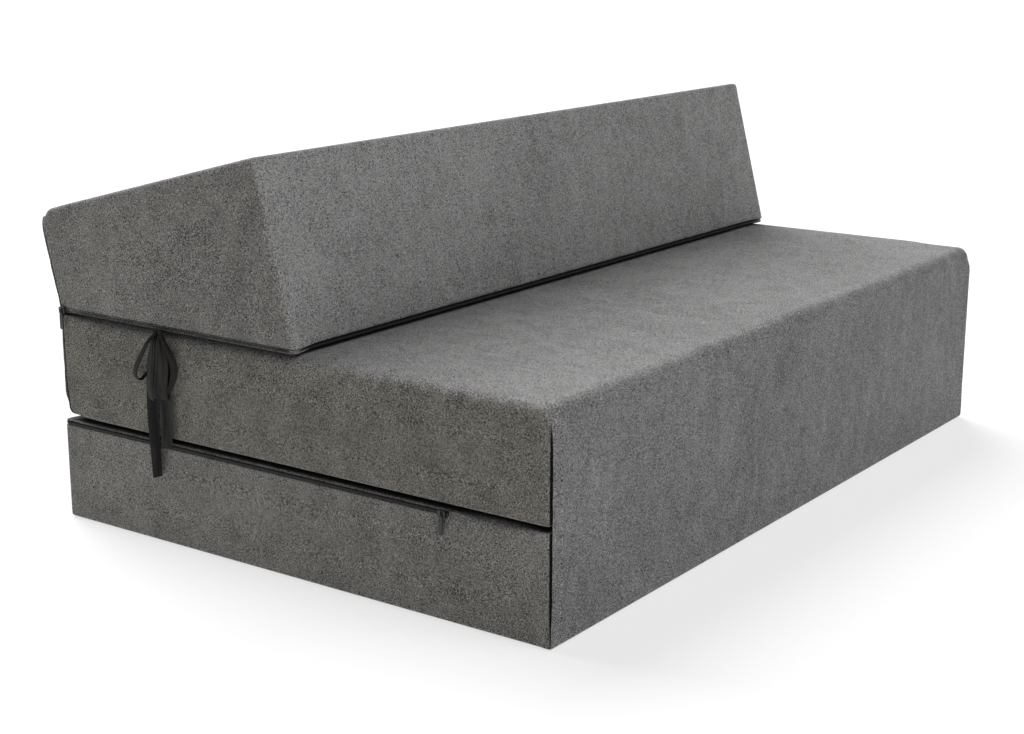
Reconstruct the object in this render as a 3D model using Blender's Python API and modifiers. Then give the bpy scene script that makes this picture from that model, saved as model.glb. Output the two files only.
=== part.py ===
"""Folding futon sofa bed: a base slab, a seat slab and a wedge backrest of foam in zipped cloth covers.

Metres, +Z up. The front faces -Y and the width runs along X. The origin is the middle of the
floor under the folded sofa. The base folds out forwards about the front panel, and the backrest
folds over backwards about the rear panel.
"""

import math

import bmesh
import bpy
from mathutils import Matrix, Vector

# The sofa's own sizes.
WIDTH = 1.200
SLAB_DEPTH = 0.800  # front of the front panel to the back of the rear panel
SLAB_THICK = 0.140
SLAB_GAP = 0.005  # groove between base and seat
WEDGE_FLAT = 0.410  # square side of the wedge: its top on the sofa, its underside on the bed
WEDGE_FRONT = 0.250
WEDGE_REAR = 0.140

# Cloth.
WALL = 0.0020  # lined cover
PANEL = 0.0016  # front and rear panels over the covers
CORNER = 0.0030  # sewn edge of a cover
FIT = 0.0004  # gap between pieces that touch
HINGE_OUT = 0.0015  # fold line of a panel, outside the panel's face

# Zips.
ZIP_INSET = 0.0060  # zip line below or above the cover's edge
SLOT = 0.0050  # opening in the cover along the zip
TAPE_TALL = 0.0042
TAPE_THICK = 0.0012
COIL_R = 0.0011
COIL_OUT = 0.0012  # coil's centre outside the cover
ZIP_TURN_R = 0.004
SLIDER_LONG = 0.0110
SLIDER_TALL = 0.0084
SLIDER_OUT = 0.0040
BAIL_OUT = 0.0024
BAIL_BAR = 0.0008
BAIL_LEG = 0.0012
BAIL_BELOW = 0.0016  # leg that the pull swings on, below the slider's middle
BAIL_OPEN = 0.0028  # between the two legs
PULL_LONG = 0.0240
PULL_WIDE = 0.0064
PULL_THICK = 0.0010
PULL_HOLE_R = 0.0011
PULL_RING_R = 0.0022
STOP_LONG = 0.0030
STOP_TALL = 0.0040
BASE_SLIDER_Y = 0.152  # closed end of the base zip, behind the front
SEAT_SLIDER_Y = 0.152
BACKREST_SLIDER_IN = 0.0100  # middle of the slider, ahead of the wedge's rear edge
ZIP_END = 0.030  # zip opening's end short of an edge
ZIP_FRONT = 0.140  # front end of the base and seat openings

# Ties.
TIE_WIDE = 0.0212
TIE_THICK = 0.0008
TIE_SIDE_GAP = 0.0003
TIE_Y = 0.6095  # line between the two ribbons, behind the front
TIE_OUT = 0.0072  # hanging ribbon, outside the covers
LOOP_LONG = 0.0720
LOOP_OUT = 0.0125
LOOP_WIDE = 0.0070
LOOP_STEPS = 6
SEAT_TAIL = 0.138
BACKREST_TAIL = 0.181
KNOT_TALL = 0.0156
KNOT_LOW = 0.0130  # knot's lower edge below the top of the seat
KNOT_WIDE = 0.0210
KNOT_DEEP = 0.0205

# Worked out from the sizes above.
HALF = WIDTH / 2
SKIN = PANEL + FIT  # what the panels take of the slab's depth at each end
LEAN = math.atan2(WEDGE_FRONT - WEDGE_REAR, WEDGE_FLAT)
WEDGE_BASE = math.hypot(WEDGE_FLAT, WEDGE_FRONT - WEDGE_REAR)
SEAT_LOW = SLAB_THICK + SLAB_GAP
SEAT_TOP = SEAT_LOW + SLAB_THICK
WEDGE_LOW = SEAT_TOP + FIT
REAR_REACH = SLAB_DEPTH - SKIN + WEDGE_REAR * math.sin(LEAN) + SKIN * math.cos(LEAN)
FRONT = -REAR_REACH / 2  # front panel's outer face
COVER_FRONT = FRONT + SKIN
COVER_REAR = FRONT + SLAB_DEPTH - SKIN
FOLD_Z = SLAB_THICK + SLAB_GAP / 2
BASE_ZIP_Z = SLAB_THICK - ZIP_INSET
SEAT_ZIP_Z = SEAT_LOW + ZIP_INSET
WEDGE_ZIP_Z = WEDGE_LOW + ZIP_INSET
WEDGE_FRONT_Y = COVER_REAR - WEDGE_BASE
LEAN_AT_ZIP = ZIP_INSET * math.tan(LEAN)  # the leaning faces have moved back this far at the zip

COLOURS = {
    "velour": ((0.135, 0.131, 0.124), 0.95, 0.0),
    "velour_side": ((0.115, 0.110, 0.102), 0.95, 0.0),
    "foam": ((0.72, 0.66, 0.48), 0.95, 0.0),
    "tape": ((0.016, 0.016, 0.017), 0.85, 0.0),
    "coil": ((0.050, 0.050, 0.050), 0.45, 0.0),
    "slider": ((0.115, 0.115, 0.112), 0.40, 0.9),
    "satin": ((0.010, 0.010, 0.011), 0.38, 0.0),
}


def collection(name):
    made = bpy.data.collections.new(name)
    bpy.context.scene.collection.children.link(made)
    return made


def material(name, finish):
    colour, rough, metal = COLOURS[finish]
    made = bpy.data.materials.new(name)
    made.use_nodes = True
    shader = made.node_tree.nodes["Principled BSDF"]
    shader.inputs["Base Color"].default_value = (*colour, 1.0)
    shader.inputs["Roughness"].default_value = rough
    shader.inputs["Metallic"].default_value = metal
    made.diffuse_color = (*colour, 1.0)
    return made


def new_object(name, bm, where, finish=None):
    """An object from a bmesh, in a collection, with its own material unless it is a cutter."""
    bmesh.ops.recalc_face_normals(bm, faces=bm.faces)
    mesh = bpy.data.meshes.new(name)
    bm.to_mesh(mesh)
    bm.free()
    obj = bpy.data.objects.new(name, mesh)
    where.objects.link(obj)
    if finish:
        mesh.materials.append(material(name, finish))
    else:
        obj.hide_render = True
        obj.display_type = "WIRE"
    return obj


def box(name, low, high, where, finish=None):
    low, high = Vector(low), Vector(high)
    size = high - low
    bm = bmesh.new()
    bmesh.ops.create_cube(bm, size=1.0)
    bmesh.ops.scale(bm, vec=size, verts=bm.verts)
    obj = new_object(name, bm, where, finish)
    obj.location = (low + high) / 2
    return obj


def cylinder(name, centre, radius, length, turn, where, sides=16):
    """A cylinder along Z, turned by the given matrix."""
    bm = bmesh.new()
    bmesh.ops.create_cone(
        bm, cap_ends=True, segments=sides, radius1=radius, radius2=radius, depth=length
    )
    bmesh.ops.transform(bm, matrix=turn, verts=bm.verts)
    obj = new_object(name, bm, where)
    obj.location = centre
    return obj


def wedge(name, inset, where, finish=None):
    """The backrest's block, each face moved in by inset, its hinge corner at the object's origin."""
    slope = math.tan(LEAN)
    lift = inset / math.cos(LEAN)
    rear, front = -inset, inset - WEDGE_FLAT
    outline = (
        (rear, rear * slope + lift),
        (rear, WEDGE_REAR - inset),
        (front, WEDGE_REAR - inset),
        (front, front * slope + lift),
    )
    bm = bmesh.new()
    side = [bm.verts.new((inset - HALF, y, z)) for y, z in outline]
    face = bm.faces.new(side)
    grown = bmesh.ops.extrude_face_region(bm, geom=[face])["geom"]
    ends = [v for v in grown if isinstance(v, bmesh.types.BMVert)]
    bmesh.ops.translate(bm, vec=(WIDTH - 2 * inset, 0, 0), verts=ends)
    obj = new_object(name, bm, where, finish)
    obj.location = (0, COVER_REAR, WEDGE_LOW)
    obj.rotation_euler.x = -LEAN
    return obj


def slab(name, low, inset, where, finish=None):
    return box(
        name,
        (inset - HALF, COVER_FRONT + inset, low + inset),
        (HALF - inset, COVER_REAR - inset, low + SLAB_THICK - inset),
        where,
        finish,
    )


def offset_path(path, out):
    """The points of an open path, moved sideways by out with mitred corners."""
    points = [Vector(p) for p in path]
    runs = [(b - a).normalized() for a, b in zip(points, points[1:])]
    normals = [Vector((-r.y, r.x)) for r in runs]
    moved = []
    for i, point in enumerate(points):
        before = normals[max(i - 1, 0)]
        after = normals[min(i, len(normals) - 1)]
        middle = (before + after).normalized()
        moved.append(point + middle * out / middle.dot(before))
    return moved


def band(name, path, out, inward, low, high, where, finish=None):
    """A band standing on a path in plan, between two offsets from it and two heights."""
    outline = offset_path(path, out) + offset_path(path, -inward)[::-1]
    bm = bmesh.new()
    face = bm.faces.new([bm.verts.new((p.x, p.y, low)) for p in outline])
    grown = bmesh.ops.extrude_face_region(bm, geom=[face])["geom"]
    tops = [v for v in grown if isinstance(v, bmesh.types.BMVert)]
    bmesh.ops.translate(bm, vec=(0, 0, high - low), verts=tops)
    return new_object(name, bm, where, finish)


def rounded(path, radius=ZIP_TURN_R, steps=4):
    """A path in plan with its corners turned into smooth bends."""
    points = [Vector(p) for p in path]
    made = [points[0]]
    for a, b, c in zip(points, points[1:], points[2:]):
        start = b + (a - b).normalized() * radius
        end = b + (c - b).normalized() * radius
        for i in range(steps + 1):
            t = i / steps
            made.append(start.lerp(b, t).lerp(b.lerp(end, t), t))
    return made + [points[-1]]


def tube(name, path, z, radius, where, finish):
    """A round strand along a path in plan."""
    curve = bpy.data.curves.new(name, "CURVE")
    curve.dimensions = "3D"
    curve.bevel_depth = radius
    curve.bevel_resolution = 2
    curve.use_fill_caps = True
    spline = curve.splines.new("POLY")
    spline.points.add(len(path) - 1)
    for point, place in zip(spline.points, path):
        point.co = (place.x, place.y, z, 1.0)
    curve.materials.append(material(name, finish))
    obj = bpy.data.objects.new(name, curve)
    where.objects.link(obj)
    return obj


def strip(name, route, low_y, high_y, thick, where, finish):
    """A ribbon or cloth strip: a route of (x, z) points drawn out along Y and given its thickness."""
    bm = bmesh.new()
    near = [bm.verts.new((x, low_y, z)) for x, z in route]
    far = [bm.verts.new((x, high_y, z)) for x, z in route]
    for i in range(len(route) - 1):
        bm.faces.new((near[i], near[i + 1], far[i + 1], far[i]))
    obj = new_object(name, bm, where, finish)
    thickness = obj.modifiers.new("thickness", "SOLIDIFY")
    thickness.thickness = thick
    thickness.offset = 0.0
    thickness.use_even_offset = True
    return obj


def bevel(obj, width, segments=2):
    edge = obj.modifiers.new("edge", "BEVEL")
    edge.width = width
    edge.segments = segments
    return obj


def cut(obj, cutter, operation="DIFFERENCE"):
    boolean = obj.modifiers.new("cut", "BOOLEAN")
    boolean.operation = operation
    boolean.solver = "EXACT"
    boolean.object = cutter


def hang(pivot, *objs):
    """The objects move with the pivot and stay where they are."""
    bpy.context.view_layer.update()
    for obj in objs:
        obj.parent = pivot
        obj.matrix_parent_inverse = pivot.matrix_world.inverted()


def pivot(name, place, where, parent=None):
    empty = bpy.data.objects.new(name, None)
    empty.location = place
    empty.empty_display_size = 0.05
    where.objects.link(empty)
    if parent:
        hang(parent, empty)
    return empty


def zip_tape(name, path, z, where):
    return band(
        f"{name}_zip_tape",
        path,
        -FIT / 2,
        FIT / 2 + TAPE_THICK,
        z - TAPE_TALL / 2,
        z + TAPE_TALL / 2,
        where,
        "tape",
    )


def zip_slot(name, path, z, cutters):
    """The cover's opening along the zip, a little longer than the tape at both ends."""
    first, second, before, last = (Vector(path[i]) for i in (0, 1, -2, -1))
    longer = [first + (first - second).normalized() * FIT, *path[1:-1]]
    longer.append(last + (last - before).normalized() * FIT)
    reach = WALL + FIT / 2
    return band(f"{name}_zip_slot", longer, WALL * 2, reach, z - SLOT / 2, z + SLOT / 2, cutters)


def along_y(y, side):
    return Vector((side * HALF, y))


def zip_coil(name, path, z, where):
    return tube(f"{name}_zip_coil", offset_path(path, COIL_OUT), z, COIL_R, where, "coil")


def zip_stop(name, y, side, z, where):
    """A crimped stop just past the coil's end."""
    inner, outer = HALF + FIT, HALF + COIL_OUT + COIL_R
    xs = sorted((side * inner, side * outer))
    return box(
        name,
        (xs[0], y - STOP_LONG / 2, z - STOP_TALL / 2),
        (xs[1], y + STOP_LONG / 2, z + STOP_TALL / 2),
        where,
        "slider",
    )


def zip_slider(name, y, side, z, where, cutters):
    """The slider's body round the coil, with the bail that its pull hangs on."""
    across = Matrix.Rotation(math.pi / 2, 4, "X")

    def out(*xs):
        return sorted(side * (HALF + x) for x in xs)

    def block(label, near, far, half_y, low, high, target, finish=None):
        xs = out(near, far)
        return box(label, (xs[0], y - half_y, low), (xs[1], y + half_y, high), target, finish)

    face = SLIDER_OUT
    body = block(
        f"{name}_zip_slider",
        FIT,
        face,
        SLIDER_LONG / 2,
        z - SLIDER_TALL / 2,
        z + SLIDER_TALL / 2,
        where,
        "slider",
    )
    low, high = z - BAIL_BELOW - BAIL_LEG / 2, z - BAIL_BELOW + BAIL_LEG * 1.5 + BAIL_OPEN
    sunk, top = face - BAIL_LEG / 2, face + BAIL_OUT
    bail = block(f"{name}_bail", sunk, top, BAIL_LEG / 2, low, high, cutters)
    hollow = block(
        f"{name}_bail_hollow",
        face,
        top - BAIL_BAR,
        BAIL_LEG,
        low + BAIL_LEG,
        high - BAIL_LEG,
        cutters,
    )
    channel = cylinder(
        f"{name}_channel",
        (side * (HALF + COIL_OUT), y, z),
        COIL_R + FIT,
        SLIDER_LONG * 2,
        across,
        cutters,
        sides=12,
    )
    cut(bail, hollow)
    cut(body, bail, "UNION")
    cut(body, channel)
    return body


def zip_pull(name, y, side, z, where, cutters):
    """The flat tab that hangs on the bail's lower leg. Its origin is on the leg's line."""
    wide, narrow = PULL_WIDE / 2, PULL_RING_R * 0.72
    outline = (
        (-narrow, PULL_RING_R),
        (narrow, PULL_RING_R),
        (PULL_RING_R, 0.0),
        (wide, -PULL_LONG / 4),
        (wide, -PULL_LONG + wide / 2),
        (wide / 2, -PULL_LONG),
        (-wide / 2, -PULL_LONG),
        (-wide, -PULL_LONG + wide / 2),
        (-wide, -PULL_LONG / 4),
        (-PULL_RING_R, 0.0),
    )
    bm = bmesh.new()
    face = bm.faces.new([bm.verts.new((-PULL_THICK / 2, py, pz)) for py, pz in outline])
    grown = bmesh.ops.extrude_face_region(bm, geom=[face])["geom"]
    fars = [v for v in grown if isinstance(v, bmesh.types.BMVert)]
    bmesh.ops.translate(bm, vec=(PULL_THICK, 0, 0), verts=fars)
    pull = new_object(f"{name}_zip_pull", bm, where, "slider")
    depth = SLIDER_OUT + (BAIL_OUT - BAIL_BAR) / 2
    pull.location = (side * (HALF + depth), y, z - BAIL_BELOW)
    hole = cylinder(
        f"{name}_pull_hole",
        pull.location,
        PULL_HOLE_R,
        PULL_THICK * 4,
        Matrix.Rotation(math.pi / 2, 4, "Y"),
        cutters,
    )
    cut(pull, hole)
    return pull


def zip_moving(name, y, side, z, parent, parts, cutters):
    slider = zip_slider(name, y, side, z, parts, cutters)
    pull = zip_pull(name, y, side, z, parts, cutters)
    hang(parent, slider)
    hang(slider, pull)


def cover(name, outer, inner, slot):
    bevel(outer, CORNER)
    cut(outer, inner)
    cut(outer, slot)
    outer.name = name
    return outer


def make_base(parts, cutters, fold):
    """The lower slab. Its zip runs along the left, rear and right sides under its top edge."""
    front, rear = FRONT + ZIP_FRONT, COVER_REAR
    path = rounded([along_y(front, -1), along_y(rear, -1), along_y(rear, 1), along_y(front, 1)])
    slot = zip_slot("base", path, BASE_ZIP_Z, cutters)
    inner = slab("base_inside", 0.0, WALL, cutters)
    casing = cover("base_cover", slab("base_cover", 0.0, 0.0, parts, "velour_side"), inner, slot)
    foam = slab("base_foam", 0.0, WALL + FIT, parts, "foam")
    tape = zip_tape("base", path, BASE_ZIP_Z, parts)
    slider_y = FRONT + BASE_SLIDER_Y
    start = slider_y - SLIDER_LONG / 2
    teeth = rounded([along_y(start, -1), along_y(rear, -1), along_y(rear, 1), along_y(start, 1)])
    coil = zip_coil("base", teeth, BASE_ZIP_Z, parts)
    stop_y = start - STOP_LONG / 2 - FIT
    stops = [
        zip_stop("base_zip_closed_stop", stop_y, -1, BASE_ZIP_Z, parts),
        zip_stop("base_zip_open_stop", stop_y, 1, BASE_ZIP_Z, parts),
    ]
    hang(fold, casing, foam, tape, coil, *stops)
    zip_moving("base", slider_y, -1, BASE_ZIP_Z, fold, parts, cutters)


def make_seat(parts, cutters, rest):
    """The upper slab. Its zip is straight, low on the right side."""
    front, rear = FRONT + ZIP_FRONT, COVER_REAR - ZIP_END
    path = [along_y(rear, 1), along_y(front, 1)]
    slot = zip_slot("seat", path, SEAT_ZIP_Z, cutters)
    inner = slab("seat_inside", SEAT_LOW, WALL, cutters)
    block = slab("seat_cover", SEAT_LOW, 0.0, parts, "velour")
    casing = cover("seat_cover", block, inner, slot)
    foam = slab("seat_foam", SEAT_LOW, WALL + FIT, parts, "foam")
    tape = zip_tape("seat", path, SEAT_ZIP_Z, parts)
    slider_y = FRONT + SEAT_SLIDER_Y
    start = slider_y - SLIDER_LONG / 2
    end = rear - STOP_LONG - FIT
    coil = zip_coil("seat", [along_y(end, 1), along_y(start, 1)], SEAT_ZIP_Z, parts)
    stops = [
        zip_stop("seat_zip_closed_stop", start - STOP_LONG / 2 - FIT, 1, SEAT_ZIP_Z, parts),
        zip_stop("seat_zip_open_stop", end + STOP_LONG / 2 + FIT, 1, SEAT_ZIP_Z, parts),
    ]
    hang(rest, casing, foam, tape, coil, *stops)
    zip_moving("seat", slider_y, 1, SEAT_ZIP_Z, rest, parts, cutters)


def make_backrest(parts, cutters, fold):
    """The wedge. Its zip runs along the left, front and right sides over its lower edge."""
    rear = COVER_REAR + LEAN_AT_ZIP
    front = WEDGE_FRONT_Y + LEAN_AT_ZIP
    behind = rear - ZIP_END
    path = [along_y(behind, 1), along_y(front, 1), along_y(front, -1), along_y(behind, -1)]
    path = rounded(path)
    slot = zip_slot("backrest", path, WEDGE_ZIP_Z, cutters)
    inner = wedge("backrest_inside", WALL, cutters)
    block = wedge("backrest_cover", 0.0, parts, "velour")
    casing = cover("backrest_cover", block, inner, slot)
    foam = wedge("backrest_foam", WALL + FIT, parts, "foam")
    tape = zip_tape("backrest", path, WEDGE_ZIP_Z, parts)
    slider_y = rear - BACKREST_SLIDER_IN
    left = behind - FIT
    right = behind - STOP_LONG - FIT
    teeth = [along_y(right, 1), along_y(front, 1), along_y(front, -1), along_y(left, -1)]
    coil = zip_coil("backrest", rounded(teeth), WEDGE_ZIP_Z, parts)
    stop_y = right + STOP_LONG / 2 + FIT
    stop = zip_stop("backrest_zip_open_stop", stop_y, 1, WEDGE_ZIP_Z, parts)
    hang(fold, casing, foam, tape, coil, stop)
    zip_moving("backrest", slider_y, -1, WEDGE_ZIP_Z, fold, parts, cutters)


def upright_panel(name, front_y, low, high, where, finish="velour"):
    return box(
        name,
        (-HALF + CORNER, front_y, low),
        (HALF - CORNER, front_y + PANEL, high),
        where,
        finish,
    )


def make_panels(parts, base_fold, seat, back_fold):
    """The front panel bends between base and seat, and the rear panel between seat and backrest."""
    lower = upright_panel("front_panel_lower", FRONT, CORNER, FOLD_Z - FIT, parts)
    upper = upright_panel("front_panel_upper", FRONT, FOLD_Z + FIT, SEAT_TOP - CORNER, parts)
    rear_low = upright_panel(
        "rear_panel_lower",
        COVER_REAR + FIT,
        SEAT_LOW + CORNER,
        SEAT_TOP - PANEL,
        parts,
    )
    rear_high = upright_panel("rear_panel_upper", FIT, PANEL, WEDGE_REAR, parts)
    rear_high.location += Vector((0, COVER_REAR, WEDGE_LOW))
    turn = Matrix.Rotation(-LEAN, 4, "X")
    corner = Matrix.Translation((0, COVER_REAR, WEDGE_LOW))
    bpy.context.view_layer.update()
    rear_high.matrix_world = corner @ turn @ corner.inverted() @ rear_high.matrix_world
    hang(base_fold, lower)
    hang(seat, upper, rear_low)
    hang(back_fold, rear_high)


def ribbon_route(side, tail):
    """(x, z) points of one tied ribbon: its tail's end, up to the knot, and round the hanging loop."""
    top = SEAT_TOP - KNOT_LOW - FIT - TIE_THICK
    radius = LOOP_WIDE / 2
    flat = [
        (TIE_OUT, top - tail),
        (TIE_OUT, top),
        (LOOP_OUT, top),
        (LOOP_OUT, top - LOOP_LONG + radius),
    ]
    for i in range(1, LOOP_STEPS):
        turn = math.pi * i / LOOP_STEPS
        flat.append(
            (
                LOOP_OUT + radius - radius * math.cos(turn),
                top - LOOP_LONG + radius - radius * math.sin(turn),
            )
        )
    flat.append((LOOP_OUT + LOOP_WIDE, top - LOOP_LONG + radius))
    flat.append((LOOP_OUT + LOOP_WIDE, top))
    return [(side * (HALF + x), z) for x, z in flat]


def make_ties(parts, seat):
    """A tied bow on each side: the seat's ribbon, the backrest's ribbon and the knot."""
    middle = FRONT + TIE_Y
    for label, side in (("left", -1), ("right", 1)):
        ahead = (middle - TIE_SIDE_GAP / 2 - TIE_WIDE, middle - TIE_SIDE_GAP / 2)
        behind = (middle + TIE_SIDE_GAP / 2, middle + TIE_SIDE_GAP / 2 + TIE_WIDE)
        ribbons = [
            strip(f"{maker}_tie_{label}", ribbon_route(side, tail), *ys, TIE_THICK, parts, "satin")
            for maker, ys, tail in (
                ("seat", ahead, SEAT_TAIL),
                ("backrest", behind, BACKREST_TAIL),
            )
        ]
        xs = sorted((side * (HALF + FIT), side * (HALF + KNOT_DEEP)))
        knot = box(
            f"tie_knot_{label}",
            (xs[0], middle - KNOT_WIDE / 2, SEAT_TOP - KNOT_LOW),
            (xs[1], middle + KNOT_WIDE / 2, SEAT_TOP - KNOT_LOW + KNOT_TALL),
            parts,
            "satin",
        )
        bevel(knot, WALL)
        hang(seat, knot, *ribbons)


def main():
    for obj in list(bpy.data.objects):
        bpy.data.objects.remove(obj, do_unlink=True)
    parts = collection("futon_sofa_bed")
    cutters = collection("cutters")
    cutters.hide_render = True
    seat = pivot("seat_rest", (0, 0, SEAT_LOW), parts)
    base_fold = pivot("base_fold_axis", (0, FRONT - HINGE_OUT, FOLD_Z), parts, seat)
    rear_fold_y = COVER_REAR + SKIN + HINGE_OUT
    back_fold = pivot("backrest_fold_axis", (0, rear_fold_y, SEAT_TOP + FIT / 2), parts, seat)
    make_base(parts, cutters, base_fold)
    make_seat(parts, cutters, seat)
    make_backrest(parts, cutters, back_fold)
    make_panels(parts, base_fold, seat, back_fold)
    make_ties(parts, seat)
    bpy.context.view_layer.update()


main()
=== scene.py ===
"""Looks of the folding futon sofa bed: velour cushions, cloth panels, zips and satin ties."""

import math

import bmesh
import bpy
import numpy as np
from mathutils import Matrix, Vector


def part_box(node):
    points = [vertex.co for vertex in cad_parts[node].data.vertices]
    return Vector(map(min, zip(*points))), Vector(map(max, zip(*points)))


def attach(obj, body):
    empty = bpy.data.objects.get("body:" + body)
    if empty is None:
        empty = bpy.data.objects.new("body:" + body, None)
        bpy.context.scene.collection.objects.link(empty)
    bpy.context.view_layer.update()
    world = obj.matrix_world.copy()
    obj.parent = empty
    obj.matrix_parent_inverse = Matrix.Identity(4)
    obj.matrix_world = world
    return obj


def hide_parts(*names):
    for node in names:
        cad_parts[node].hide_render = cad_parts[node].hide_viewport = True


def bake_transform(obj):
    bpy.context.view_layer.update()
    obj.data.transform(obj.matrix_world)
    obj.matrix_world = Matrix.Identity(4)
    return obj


bl_info = {
    "name": "Futon sofa bed",
    "version": (1, 0, 0),
    "blender": (4, 5, 0),
    "location": "3D View > Sidebar > Futon",
    "description": "Builds the soft pieces, zips and ties of a folding sofa bed round its frame",
    "category": "Add Mesh",
}

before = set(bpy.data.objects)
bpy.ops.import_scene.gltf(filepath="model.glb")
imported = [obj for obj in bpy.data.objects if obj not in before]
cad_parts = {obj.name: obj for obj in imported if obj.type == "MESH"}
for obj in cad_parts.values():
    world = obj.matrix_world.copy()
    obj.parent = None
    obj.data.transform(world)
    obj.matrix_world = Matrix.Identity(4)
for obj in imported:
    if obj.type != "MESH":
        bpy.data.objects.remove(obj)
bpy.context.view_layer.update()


def centre_of(node):
    low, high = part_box(node)
    return (low + high) / 2


BASE_LOW, BASE_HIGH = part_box("base_cover")
SEAT_LOW, SEAT_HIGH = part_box("seat_cover")
WEDGE_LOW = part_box("backrest_cover")[0]
HALF = SEAT_HIGH.x
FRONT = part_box("front_panel_upper")[0].y
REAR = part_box("rear_panel_lower")[1].y
TIE_MIDDLE = centre_of("tie_knot_left").y
TIE_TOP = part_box("tie_knot_left")[1].z

# Faces painted almost black with painted shade, where they lie against another cushion, behind a
# panel
# or round under the wedge: an axis, its sign, and the least and most share of the face's normal
# along it.
TOP_PAINTED_SHADE = (2, 1, 0.88, 2.0)
UNDER_PAINTED_SHADE = (2, -1, 0.80, 2.0)
FRONT_PAINTED_SHADE = (1, -1, 0.80, 2.0)
WEDGE_PAINTED_SHADE = (2, -1, 0.40, 0.97)

SLEEK = 0.0015  # a rounding so small that a panel's cloth lies sharply folded
SWELL_FRAMES = 20  # frames for the cover to swell in
ON_FACE = 0.0015  # how near a point must be to a face to count as on it
TOOTH_WIDE, TOOTH_DEEP, TOOTH_TALL = 0.60, 0.0018, 0.0024  # the first is a share of the pitch
TOOTH_APART, TOOTH_TILT = 0.0005, 0.28
MIDDLE_OF_ZIPS = Vector((0, 0.1, 0))
KNOT_OUT, KNOT_BELOW = 0.0060, 0.0062  # the knot's middle, from the cushions and the ties' top
KNOT_SIZE = (0.0036, 0.0060, 0.0056)

# Suns: name, turn, height and spread in degrees.
SUNS = (("key", 65, 42, 55), ("fill", 268, 55, 50))
VIEW_PLACE = (-2.151, FRONT - 1.054, 0.8076)
VIEW_TURN, VIEW_DIP, VIEW_ROLL = -54.44, 14.27, 0.11


# ---------------------------------------------------------------- shader maths


class Socket:
    """A shader value that can be added, multiplied and so on like a number."""

    def __init__(self, finish, socket):
        self.finish = finish
        self.socket = socket

    def maths(self, operation, *values):
        node = self.finish.node("Math", {"operation": operation}, *values)
        return Socket(self.finish, node.outputs[0])

    def __add__(self, other):
        return self.maths("ADD", self, other)

    def __radd__(self, other):
        return self.maths("ADD", other, self)

    def __sub__(self, other):
        return self.maths("SUBTRACT", self, other)

    def __rsub__(self, other):
        return self.maths("SUBTRACT", other, self)

    def __mul__(self, other):
        return self.maths("MULTIPLY", self, other)

    def __rmul__(self, other):
        return self.maths("MULTIPLY", other, self)

    def __pow__(self, other):
        return self.maths("POWER", self, other)

    def clamped(self):
        return self.maths("MAXIMUM", self.maths("MINIMUM", self, 1.0), 0.0)


class Finish:
    """A material whose nodes are made one call at a time."""

    def __init__(self, name, **constants):
        self.material = bpy.data.materials.new(name)
        self.material.use_nodes = True
        self.tree = self.material.node_tree
        self.shader = self.tree.nodes["Principled BSDF"]
        for key, value in constants.items():
            self.shader.inputs[key.replace("_", " ").title()].default_value = value

    def node(self, kind, settings=None, *values, **named):
        """A node of any type: its settings first, then its sockets in order or by name."""
        made = self.tree.nodes.new("ShaderNode" + kind)
        for key, value in (settings or {}).items():
            if key == "stops":
                self.set_stops(made.color_ramp, value)
            else:
                setattr(made, key, value)
        pairs = list(enumerate(values)) + list(named.items())
        for key, value in pairs:
            socket = made.inputs[key if isinstance(key, int) else key.replace("_", " ")]
            self.feed(socket, value)
        return made

    def feed(self, socket, value):
        if isinstance(value, Socket):
            value = value.socket
        if isinstance(value, bpy.types.NodeSocket):
            self.tree.links.new(value, socket)
        else:
            socket.default_value = value

    @staticmethod
    def set_stops(ramp, stops):
        while len(ramp.elements) < len(stops):
            ramp.elements.new(1.0)
        for element, (place, colour) in zip(ramp.elements, stops):
            element.position = place
            element.color = colour

    def value(self, node, output=0):
        return Socket(self, node.outputs[output])

    def places(self, attribute=None):
        """Where a point lies in metres: on the piece, or where it lay before the piece bent."""
        if attribute:
            return self.node("Attribute", {"attribute_name": attribute}).outputs["Vector"]
        return self.node("TexCoord").outputs["Object"]

    def stretched(self, place, scale):
        return self.node("Mapping", None, Vector=place, Scale=scale).outputs[0]

    def grain(self, place, scale, detail=2.0, roughness=0.55, distortion=0.0):
        rough = {"Roughness": roughness, "Distortion": distortion}
        made = self.node("TexNoise", None, Vector=place, Scale=scale, Detail=detail, **rough)
        return self.value(made, "Fac")

    def mixed(self, share, first, second):
        made = self.node("Mix", {"data_type": "RGBA"})
        self.feed(made.inputs["Factor"], share)
        self.feed(made.inputs[6], first)
        self.feed(made.inputs[7], second)
        return made.outputs[2]

    def colour(self, value):
        self.feed(self.shader.inputs["Base Color"], value)

    def roughness(self, value):
        self.feed(self.shader.inputs["Roughness"], value)

    def bump(self, height, strength, distance):
        made = self.node("Bump", None, Strength=strength, Distance=distance, Height=height)
        self.feed(self.shader.inputs["Normal"], made.outputs[0])


def shade(colour, factor):
    return (colour[0] * factor, colour[1] * factor, colour[2] * factor, 1.0)


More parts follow.
